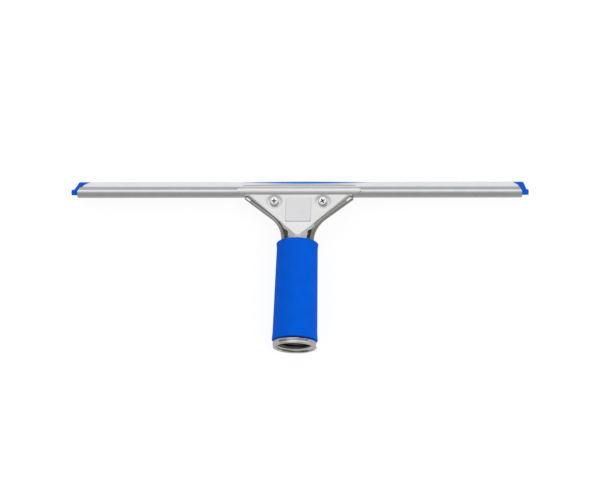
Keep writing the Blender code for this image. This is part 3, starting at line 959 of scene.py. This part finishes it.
class SQUEEGEE_OT_front_plate(bpy.types.Operator):
    """Make the pressed front half of the handle: tongue, plate with dished seats, and front jaw"""

    bl_idname = "squeegee.front_plate"
    bl_label = "Front plate"

    def execute(self, context):
        """Bend one grid from the tongue to the edge of the jaw."""
        sizes, colours = settings(context)
        path = jaw_path(1)
        flat_end = path[0][0]
        end = path[-1][2]
        root = plate_half_width(flat_end)
        stops = (tongue_end, *step_rows, ramp_end, flat_end)
        places = steps_through(stops, (6, 20, 24, 44))[:-1]
        columns = 156

        def corner(column, row):
            """A corner of the plate or of the jaw."""
            share = column / columns * 2 - 1
            if row < len(places):
                place = places[row]
                x = share * plate_half_width(place)
                height = plate_height(place, x) - seat_drop(x, place, sizes)
                return on_handle(x, place, height)
            place, height, run = path[row - len(places)]
            x = share * jaw_width(run, end, root)
            fade = 1 - ease(run / seat_fade)
            return on_handle(x, place, height - seat_drop(x, place, sizes) * fade)

        shape = bmesh.new()
        bent_grid(shape, columns, len(places) + len(path) - 1, corner)
        open_holes(shape, plate_under)
        finish = steel_finish("bright_satin_steel", colours.plate, 0.26, 2400, 0.10)
        # Painted shade and reflections on the front jaw's face
        paint_shade_by_depth(finish, (1, 0.99, 0.97), jaw_painted_shade)
        piece = add_piece("plate_pressing", shape, finish)
        # Painted shade: the plate's sheet edges are near black, darkening the gap line beside the
        # rims
        cut = steel_finish("painted_edge_shade", shade_of(colours.shell, 0.16), 0.3, 2000, 0.12)
        piece.data.materials.append(cut)
        thicken(piece, 1, sizes.edge_round)
        piece.modifiers["sheet"].material_offset_rim = 1
        settle(piece, "front", "front_plate")
        return {"FINISHED"}


class SQUEEGEE_OT_bare_panel(bpy.types.Operator):
    """Make the bare raised panel between the screws"""

    bl_idname = "squeegee.bare_panel"
    bl_label = "Bare panel"

    def execute(self, context):
        """Round a thin block's corners, slope its sides and soften its upper edge."""
        sizes, colours = settings(context)
        middle = (panel_start + panel_end) / 2
        shape = bmesh.new()
        bmesh.ops.create_cube(shape, size=1)
        top_share = (0.962, 0.96)
        top_shift = 0.00035
        size = (sizes.panel_width, panel_end - panel_start, 2 * sizes.panel_height, 1)
        move(shape, Matrix.Diagonal(size))
        upright = [e for e in shape.edges if abs((e.verts[0].co - e.verts[1].co).z) > 0.0001]
        soften(shape, upright, 0.0012, 6)
        upper = [v for v in shape.verts if v.co.z > 0]
        for vert in upper:
            vert.co.x *= top_share[0]
            vert.co.y = vert.co.y * top_share[1] + top_shift
        rim = [e for e in shape.edges if all(v in upper for v in e.verts)]
        soften(shape, rim, 0.00008, 2)
        move(shape, Matrix.Translation(on_handle(0, middle, plate_top)))
        close_shape(shape)
        finish = steel_finish("panel_steel", shade_of(colours.plate, 0.96), 0.30, 2600, 0.08)
        piece = add_piece("bare_panel", shape, finish)
        shade_flats(piece)
        settle(piece, "front", None)
        return {"FINISHED"}


def turn_profile(points, centre, axis, count):
    """Turn a profile of points round an axis, as a closed shape."""
    shape = bmesh.new()
    verts = [shape.verts.new(point) for point in points]
    edges = [shape.edges.new(pair) for pair in zip(verts, verts[1:])]
    bmesh.ops.spin(
        shape,
        geom=verts + edges,
        cent=centre,
        axis=axis,
        angle=math.tau,
        steps=count,
        use_merge=True,
    )
    close_shape(shape)
    return shape


class SQUEEGEE_OT_grip_sleeve(bpy.types.Operator):
    """Make the blue rubber sleeve"""

    bl_idname = "squeegee.grip_sleeve"
    bl_label = "Grip sleeve"

    def execute(self, context):
        """Turn the sleeve's section: soft shoulder, long taper and flared foot."""
        colours = context.scene.squeegee_colours
        foot = 0.0009
        upper_radius = 0.0160
        widening = 0.0016
        flare_start = 0.0130
        flare_length = 0.0090
        flare_width = 0.0004
        bottom = sleeve_start + 0.0004
        shoulder = (
            (0.0134, 0),
            (0.0141, 0.00015),
            (0.0150, 0.0006),
            (0.0159, 0.0013),
            (0.0163, 0.0018),
            (0.0164, 0.0023),
            (0.01635, 0.0029),
            (0.0161, 0.0042),
            (upper_radius, 0.0060),
        )
        profile = [(radius, sleeve_end - drop) for radius, drop in shoulder]
        waist = profile[-1][1]
        for share in steps(0, 1, 24)[1:]:
            place = waist + (bottom + foot - waist) * share
            flare = ease((flare_start - place) / flare_length) * flare_width
            profile.append((upper_radius + widening * share + flare, place))
        radius = profile.pop()[0]
        profile += arc((radius - foot, bottom + foot), foot, 0, -math.pi / 2, 6)
        profile += [(tube_radius + fit, bottom), (neck_radius + fit, taper_end)]
        profile += [(neck_radius + fit, sleeve_end), profile[0]]
        points = [on_handle(radius, place, 0) for radius, place in profile]
        shape = turn_profile(points, on_handle(0, 0, 0), (0, 1, 0), 128)
        finish = rubber_finish("blue_grip_rubber", colours.rubber, 0.62, 1300, 0.35)
        piece = add_piece("rubber_sleeve", shape, finish)
        settle(piece, "handle", "grip_sleeve")
        return {"FINISHED"}


class SQUEEGEE_OT_pole_socket(bpy.types.Operator):
    """Make the pole socket: a liner with a rolled thread, and a rolled collar round its mouth"""

    bl_idname = "squeegee.pole_socket"
    bl_label = "Pole socket"

    def execute(self, context):
        """Bend a grid round the axis, with the thread's ridges running along a helix."""
        sizes, colours = settings(context)
        half_thread = sizes.thread_depth / 2
        depth = 0.0360
        wall = 0.0008
        lip = 0.0007
        rim_outer = 0.0164
        rim_inner = 0.0156
        collar = 0.01685
        neck = 0.0153
        throat = 0.0149
        groove_top = sleeve_start - fit
        groove_bottom = 0.0045
        groove_ease = 0.0008
        throat_length = 0.0045
        thread_end = 0.004
        liner = inner_half_width(sleeve_start) - fit
        tip = inner_half_width(depth) - fit
        profile = [(tip, depth, 0), (liner, groove_top, 0), (neck, groove_top - 0.0001, 0)]
        profile += [(neck, groove_bottom + 0.0004, 0), (0.0157, groove_bottom, 0)]
        for place in steps(groove_bottom - 0.0002, lip, 14):
            lower = 1 - 0.6 * ease((0.0013 - place) / groove_ease)
            share = min(ease((groove_bottom - place) / groove_ease), lower)
            profile.append((collar, place, share))
        for radius, turn, share in ((rim_outer, 0, 0.3), (rim_inner, -math.pi / 2, 0.1)):
            rim = arc((radius, lip), lip, turn, turn - math.pi / 2, 6)
            profile += [(x, place, share) for x, place in rim]
        for place in steps(lip, depth - 0.001, 84)[1:]:
            taper = inner_half_width(max(place, sleeve_start)) - fit - wall - half_thread
            radius = throat + (taper - throat) * ease((place - lip) / throat_length)
            profile.append((radius, place, -1))
        profile.append((tip - wall, depth, 0))
        around = 144
        count = len(profile)

        def corner(column, row):
            """A corner of the socket, on or between the thread's ridges."""
            radius, place, share = profile[row % count]
            angle = column / around * math.tau
            wave = math.cos(math.tau * (place / sizes.thread_pitch) - angle)
            if share < 0:
                share = ease((depth - place) / thread_end)
            radius += half_thread * wave * share
            return on_handle(radius * math.sin(angle), place, radius * math.cos(angle))

        shape = bmesh.new()
        bent_grid(shape, around, count, corner)
        close_shape(shape)
        finish = steel_finish("polished_roll", colours.screw, 0.09, 1600, 0.05)
        piece = add_piece("rolled_socket", shape, finish)
        # Painted shade in the groove under the sleeve's foot and deep in the bore
        painted_shade = steel_finish("painted_bore_shade", colours.shade, 0.30, 1600, 0.06)

        def in_painted_shade(centre):
            """Whether a face gets painted shade: in the groove or in the socket behind its lip."""
            radius = math.hypot(centre.x, centre.z - axis_height)
            place = centre.y - mouth_y
            in_bore = place > 0.0028 and radius < 0.0145
            return in_bore or place > groove_bottom and radius < rim_inner

        finish_faces(piece, painted_shade, in_painted_shade)
        settle(piece, "handle", "thread_socket")
        return {"FINISHED"}


def slot_cutter(x, turned_by, sizes):
    """The tapered bar that cuts one arm of a screw's cross recess."""
    deep = 0.0013
    above = 0.0003
    foot_radius = 0.0015
    top_radius = 0.0031
    flattening = 0.24
    middle = seat_height + sizes.head_height + (above - deep) / 2
    squeeze = Matrix.Diagonal((1, flattening, 1, 1)) @ Matrix.Rotation(math.pi / 4, 4, "Z")
    place = Matrix.Translation(on_handle(x, screw_place, middle))
    shape = bmesh.new()
    add_bar(shape, 4, foot_radius, top_radius, deep + above)
    move(shape, place @ Matrix.Rotation(turned_by, 4, "Z") @ squeeze)
    close_shape(shape)
    return add_piece("slot_cutter", shape, None)


class SQUEEGEE_OT_screws(bpy.types.Operator):
    """Make the two cross-recess screws"""

    bl_idname = "squeegee.screws"
    bl_label = "Screws"

    def execute(self, context):
        """Turn each screw's section and cut its recess."""
        sizes, colours = settings(context)
        finish = steel_finish("bright_screw_steel", colours.screw, 0.16, 2600, 0.05)
        # Painted shade in the cross recesses
        painted_shade = steel_finish("painted_recess_shade", shade_of(colours.shade, 0.5), 0.5, 900, 0.1)
        brow = 0.0010
        crown = 0.00022
        rest = 0.0002
        flat = sizes.head_radius - brow
        profile = [(flat * share, sizes.head_height - crown * share**2) for share in steps(0, 1, 8)]
        centre = (flat, sizes.head_height - crown - brow)
        profile[-1:] = arc(centre, brow, math.pi / 2 - 0.12, 0, 8)
        profile += [(sizes.head_radius, 2 * rest), (sizes.head_radius - rest, rest)]
        profile += [(shank_radius, rest)]
        half_pitch = 0.00034
        groove = 0.00018
        groove_start = 0.0006
        for index in range(34):
            radius = shank_radius - groove * (index % 2)
            profile.append((radius, -groove_start - index * half_pitch))
        profile += [(shank_radius * 0.7, -shank_length), (0, -shank_length - 0.0006)]
        for x, word, turned_by in ((-screw_x, "left", 0), (screw_x, "right", math.radians(30))):
            seat = on_handle(x, screw_place, seat_height)
            points = [seat + Vector((radius, 0, height)) for radius, height in profile]
            shape = turn_profile(points, seat, (0, 0, 1), 48)
            piece = add_piece(f"cross_screw_{word}", shape, finish)
            carve(piece, slot_cutter(x, turned_by, sizes))
            carve(piece, slot_cutter(x, turned_by + math.pi / 2, sizes))

            def in_recess(point):
                """Whether a face lies in the cross recess, where shade is painted."""
                sunk = seat.z + sizes.head_height - 0.00045 - point.z
                return math.dist(point.xy, seat.xy) < 0.0024 and 0 < sunk < 0.0012

            finish_faces(piece, painted_shade, in_recess)
            shade_flats(piece)
            settle(piece, f"screw_{word}", f"screw_{word}")
        return {"FINISHED"}


class SQUEEGEE_OT_nuts(bpy.types.Operator):
    """Make the two hexagon nuts behind the rear shell"""

    bl_idname = "squeegee.nuts"
    bl_label = "Nuts"

    def execute(self, context):
        """Chamfer each hexagon and cut its bore."""
        colours = context.scene.squeegee_colours
        finish = steel_finish("nut_steel", colours.polished, 0.24, 2600, 0.08)
        middle = floor_inner - sheet - fit - nut_height / 2
        radius = nut_flats / math.sqrt(3)
        for x, word in ((-screw_x, "left"), (screw_x, "right")):
            place = Matrix.Translation(on_handle(x, screw_place, middle))
            shape = bmesh.new()
            add_bar(shape, 6, radius, radius, nut_height)
            soften(shape, edges_over(shape, 80), 0.00035, 3)
            move(shape, place)
            piece = add_piece(f"hexagon_nut_{word}", shape, finish)
            bore = bmesh.new()
            add_bar(bore, 32, hole_radius, hole_radius, nut_height * 2)
            move(bore, place)
            carve(piece, add_piece("bore_cutter", bore, None))
            shade_flats(piece)
            settle(piece, "handle", f"nut_{word}")
        return {"FINISHED"}


def add_lamp(name, energy, size, place, aim):
    """A large soft lamp, which metal doesn't mirror."""
    lamp = bpy.data.lights.new(name, "AREA")
    lamp.energy = energy
    lamp.size = size
    holder = bpy.data.objects.new(name, lamp)
    bpy.context.scene.collection.objects.link(holder)
    holder.location = place
    holder.rotation_euler = (Vector(aim) - Vector(place)).to_track_quat("-Z", "Y").to_euler()
    holder.visible_glossy = False
    holder.visible_camera = False


def show_to_metal(tree, path, plain, mirrored):
    """Mix two shaders, of which metal mirrors only the second."""
    either = add_node(tree, "Math", operation="MAXIMUM")
    mix = add_node(tree, "MixShader")
    wire(
        tree,
        (path, "Is Glossy Ray", either, 0),
        (path, "Is Transmission Ray", either, 1),
        (either, "Value", mix, "Fac"),
        (plain, 0, mix, 1),
        (mirrored, 0, mix, 2),
    )
    return mix


def make_floor():
    """A wide white floor that keeps a soft shadow, and a painted shadow by the handle for metal."""
    material = new_finish("white_floor", (0.92, 0.92, 0.92), 0.9, 0)
    tree = material.node_tree
    shader = shader_of(tree)
    shader.inputs["Specular IOR Level"].default_value = 0
    path = add_node(tree, "LightPath")
    share = add_node(tree, "Math", {1: 0.84}, "MULTIPLY")
    glow = add_node(tree, "Emission", {"Strength": 1.07})
    lit = add_node(tree, "MixShader")
    place = add_node(tree, "TexCoord")
    reach = add_node(tree, "SeparateXYZ")
    # Painted shadow: as metal sees it, the floor glows less near the handle
    limits = {"From Min": 0.060, "From Max": 0.110, "To Min": 0.44, "To Max": 1}
    spread = add_node(tree, "MapRange", limits)
    spread.interpolation_type = "SMOOTHSTEP"
    mirrored = add_node(tree, "Emission")
    wire(
        tree,
        (place, "Object", reach, 0),
        (reach, "Y", spread, "Value"),
        (spread, "Result", mirrored, "Strength"),
        (path, "Is Camera Ray", share, 0),
        (share, "Value", lit, "Fac"),
        (shader, "BSDF", lit, 1),
        (glow, "Emission", lit, 2),
    )
    last = show_to_metal(tree, path, lit, mirrored)
    wire(tree, (last, "Shader", tree.nodes["Material Output"], "Surface"))
    shape = bmesh.new()
    bmesh.ops.create_grid(shape, x_segments=1, y_segments=1, size=3)
    floor = add_piece("floor", shape, material)
    floor.location = (0, 0, -0.0002)


# What steel mirrors: brightness at places from left to right, which dims the bands over them, and
# brightness at angles from +Y up and over to -Y
studio_flags = ((-0.76, 0.42), (-0.22, 1), (0.02, 1), (0.56, 0.66))
studio_degrees = (0, 14, 26, 42, 54, 64, 75, 86, 96, 108, 118, 128, 140, 152, 168, 180)
studio_levels = (
    (1, 0.78, 0.68, 0.70, 1.05, 1.08, 0.97, 0.84)
    + (0.56, 0.47, 0.44, 0.27, 0.40, 0.40, 0.29, 0.24)
)


def make_world(scene):
    """White to the camera, an even light on everything, and soft bands for metal to mirror."""
    world = bpy.data.worlds.new("studio")
    scene.world = world
    world.use_nodes = True
    tree = world.node_tree
    tree.nodes.clear()
    place = add_node(tree, "TexCoord")
    parts = add_node(tree, "SeparateXYZ")
    angle = add_node(tree, "Math", operation="ARCTAN2")
    turn = add_node(tree, "Math", {1: math.pi}, "DIVIDE")
    across = add_node(tree, "MapRange", {"From Min": -1})
    ramp = add_node(tree, "ValToRGB")
    flags = add_node(tree, "ValToRGB")
    table = []
    for degrees, level in zip(studio_degrees, studio_levels):
        tint = (1, 0.98, 0.95) if degrees > 100 else (1, 1, 1.01)
        table.append((degrees / 180, shade_of(tint, level)))
    set_stops(ramp, table)
    set_stops(flags, [((1 + x) / 2, (level, level, level)) for x, level in studio_flags])
    ramp.color_ramp.interpolation = "EASE"
    flags.color_ramp.interpolation = "EASE"
    even = add_node(tree, "Background", {"Color": (1, 1, 1, 1), "Strength": 0.52})
    white = add_node(tree, "Background", {"Color": (1, 1, 1, 1)})
    bands = add_node(tree, "Background")
    path = add_node(tree, "LightPath")
    mirrored = show_to_metal(tree, path, even, bands)
    seen = add_node(tree, "MixShader")
    wire(
        tree,
        (place, "Generated", parts, "Vector"),
        (parts, "Z", angle, 0),
        (parts, "Y", angle, 1),
        (angle, "Value", turn, 0),
        (turn, "Value", ramp, "Fac"),
        (parts, "X", across, "Value"),
        (across, "Result", flags, "Fac"),
        (flags, "Color", bands, "Strength"),
        (ramp, "Color", bands, "Color"),
        (path, "Is Camera Ray", seen, "Fac"),
        (mirrored, "Shader", seen, 1),
        (white, "Background", seen, 2),
        (seen, "Shader", add_node(tree, "OutputWorld"), "Surface"),
    )


def make_camera(scene):
    """A long lens above the handle, a little to the right, with the channel level in its view."""
    distance = 5
    right = Vector((0.994914, 0.026906, -0.097067))
    aim = Vector((0.002851, 0.009980, 0.016983)) - right * 0.0008
    up = Vector((0.000154, 0.963255, 0.268589))
    back = Vector((0.100727, -0.267238, 0.958352))
    lens = bpy.data.cameras.new("camera")
    lens.sensor_width = 36
    lens.lens = 384.3
    lens.clip_end = 50
    camera = bpy.data.objects.new("camera", lens)
    scene.collection.objects.link(camera)
    turned = Matrix((right, up, back)).transposed().to_4x4()
    camera.matrix_world = Matrix.Translation(aim + back * distance) @ turned
    scene.camera = camera


class SQUEEGEE_OT_stage(bpy.types.Operator):
    """Make the floor, the light and the camera"""

    bl_idname = "squeegee.stage"
    bl_label = "Stage"

    def execute(self, context):
        """Set the stage round the squeegee."""
        scene = context.scene
        scene.view_settings.view_transform = "Standard"
        make_floor()
        make_world(scene)
        make_camera(scene)
        add_lamp("key_lamp", 7.0, 1.1, (0.75, -0.35, 1.25), (0, 0, 0))
        add_lamp("fill_lamp", 2.2, 1.4, (-0.7, 0.5, 1.3), (0, 0, 0))
        return {"FINISHED"}


class SQUEEGEE_PT_pieces(bpy.types.Panel):
    """Lists the squeegee's pieces, sizes and colours"""

    bl_idname = "SQUEEGEE_PT_pieces"
    bl_label = "Squeegee"
    bl_space_type = "VIEW_3D"
    bl_region_type = "UI"
    bl_category = "Squeegee"

    def draw(self, context):
        """Draw a button for each piece, and a field for each size and colour."""
        layout = self.layout
        for operator in operators:
            layout.operator(operator.bl_idname)
        for group in (context.scene.squeegee_sizes, context.scene.squeegee_colours):
            box = layout.box()
            for name in group.__annotations__:
                box.prop(group, name)


operators = (
    SQUEEGEE_OT_stage,
    SQUEEGEE_OT_rear_shell,
    SQUEEGEE_OT_front_plate,
    SQUEEGEE_OT_bare_panel,
    SQUEEGEE_OT_pole_socket,
    SQUEEGEE_OT_grip_sleeve,
    SQUEEGEE_OT_channel,
    SQUEEGEE_OT_blade,
    SQUEEGEE_OT_end_clips,
    SQUEEGEE_OT_screws,
    SQUEEGEE_OT_nuts,
)
classes = (SqueegeeSizes, SqueegeeColours) + operators + (SQUEEGEE_PT_pieces,)


def register():
    """Register the classes and the scene's settings."""
    for cls in classes:
        bpy.utils.register_class(cls)
    bpy.types.Scene.squeegee_sizes = bpy.props.PointerProperty(type=SqueegeeSizes)
    bpy.types.Scene.squeegee_colours = bpy.props.PointerProperty(type=SqueegeeColours)


def unregister():
    """Take the settings and the classes away."""
    del bpy.types.Scene.squeegee_colours
    del bpy.types.Scene.squeegee_sizes
    for cls in reversed(classes):
        bpy.utils.unregister_class(cls)


def main():
    """Make every piece and the stage."""
    register()
    bpy.ops.squeegee.stage()
    bpy.ops.squeegee.rear_shell()
    bpy.ops.squeegee.front_plate()
    bpy.ops.squeegee.bare_panel()
    bpy.ops.squeegee.pole_socket()
    bpy.ops.squeegee.grip_sleeve()
    bpy.ops.squeegee.channel()
    bpy.ops.squeegee.blade()
    bpy.ops.squeegee.end_clips()
    bpy.ops.squeegee.screws()
    bpy.ops.squeegee.nuts()


if __name__ == "__main__":
    main()
